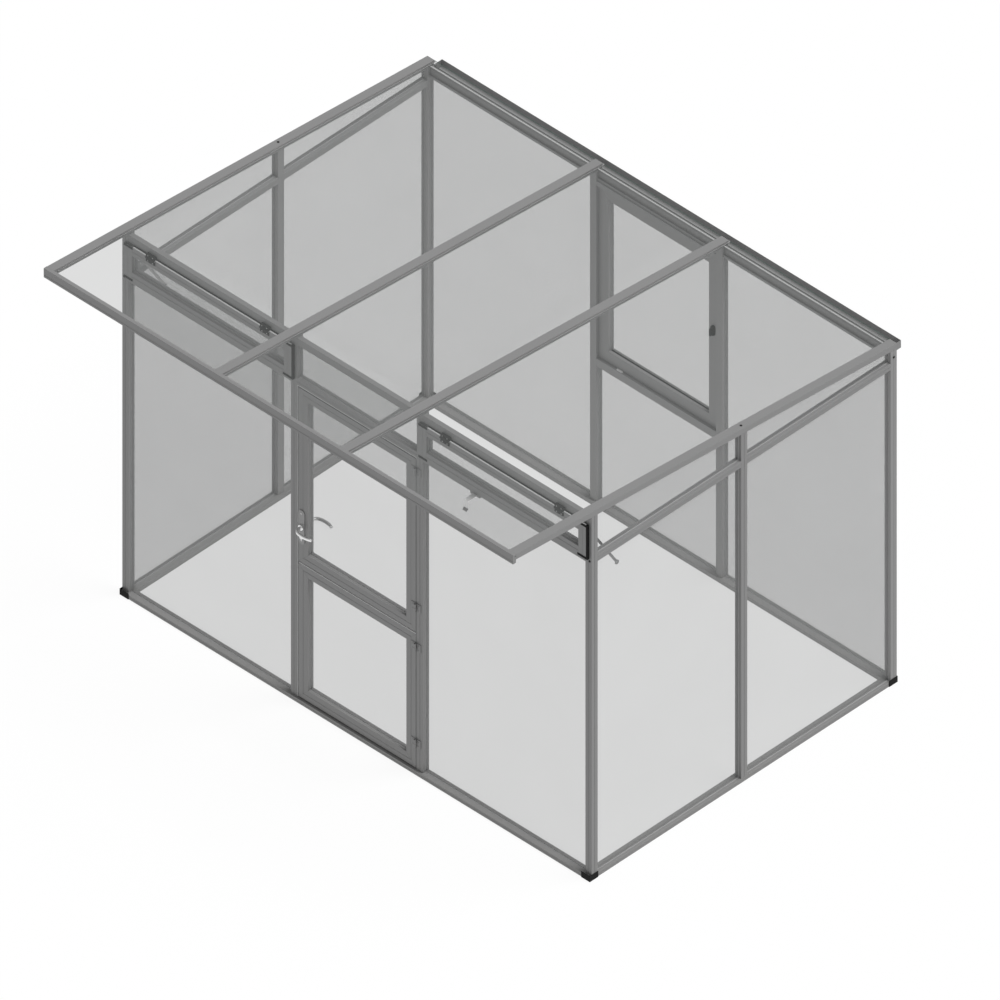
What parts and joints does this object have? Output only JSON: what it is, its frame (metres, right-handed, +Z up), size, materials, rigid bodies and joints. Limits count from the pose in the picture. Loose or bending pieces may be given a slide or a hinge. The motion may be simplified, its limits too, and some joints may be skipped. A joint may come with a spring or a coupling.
{
  "type": "glass greenhouse",
  "caption": "Glass greenhouse of grey aluminium bars with a flat roof falling to a gutter at the back, a two-part stable door, top vents in the front and a window at the back.",
  "frame": {"origin": "on the ground, under the middle of the whole outline", "axes": "+X along the building to the right as seen from the door side, +Y from the door side to the back, +Z up"},
  "size_m": [2.97, 2.54, 2.2],
  "materials": {
    "frame_grey": "satin",
    "clear_glass": "polished",
    "black_plastic": "matte",
    "hinge_grey": "satin",
    "steel": "brushed"
  },
  "bodies": {
    "frame": {"base_rail_front": "frame_grey", "base_rail_back": "frame_grey", "base_rail_left": "frame_grey", "base_rail_right": "frame_grey", "corner_feet": "black_plastic", "corner_post_front_left": "frame_grey", "corner_post_front_right": "frame_grey", "corner_post_back_left": "frame_grey", "corner_post_back_right": "frame_grey", "door_post_left": "frame_grey", "door_post_right": "frame_grey", "back_post_left": "frame_grey", "back_post_right": "frame_grey", "side_post_left": "frame_grey", "side_post_right": "frame_grey", "door_head": "frame_grey", "vent_sills": "frame_grey", "side_transom_left": "frame_grey", "side_transom_right": "frame_grey", "front_top_rail": "frame_grey", "back_top_rail": "frame_grey", "window_sill": "frame_grey", "window_head": "frame_grey", "rafter_left": "frame_grey", "rafter_middle_left": "frame_grey", "rafter_middle_right": "frame_grey", "rafter_right": "frame_grey", "roof_front_rail": "frame_grey", "roof_glass": "clear_glass", "gutter": "frame_grey", "front_glass": "clear_glass", "back_glass": "clear_glass", "left_glass": "clear_glass", "right_glass": "clear_glass", "vent_stiles": "frame_grey", "vent_rails": "frame_grey", "vent_glass": "clear_glass", "vent_hinges": "black_plastic", "vent_handles": "steel", "door_catch": "steel", "window_stiles": "frame_grey", "window_rails": "frame_grey", "window_glass": "clear_glass", "window_handle": "black_plastic", "post_hinges": "hinge_grey"},
    "upper_leaf": {"upper_leaf_stiles": "frame_grey", "upper_leaf_rails": "frame_grey", "upper_leaf_glass": "clear_glass", "upper_leaf_hinges": "hinge_grey", "lock_plates": "steel"},
    "lower_leaf": {"lower_leaf_stiles": "frame_grey", "lower_leaf_rails": "frame_grey", "lower_leaf_glass": "clear_glass", "lower_leaf_hinges": "hinge_grey"},
    "lever": {"lever_handle": "steel"}
  },
  "joints": [
    {"name": "upper_leaf_hinge", "type": "hinge", "parent": "frame", "child": "upper_leaf", "pos_m": [0.3745, -0.766, 0], "axis": [0, 0, 1], "range_deg": [0, 170]},
    {"name": "lower_leaf_hinge", "type": "hinge", "parent": "frame", "child": "lower_leaf", "pos_m": [0.3745, -0.766, 0], "axis": [0, 0, 1], "range_deg": [0, 170]},
    {"name": "lever_turn", "type": "hinge", "parent": "upper_leaf", "child": "lever", "pos_m": [-0.3475, -0.758, 1.031], "axis": [0, 1, 0], "range_deg": [0, 40], "stiffness_Nm_per_rad": 1, "springref_deg": -20.05}
  ]
}
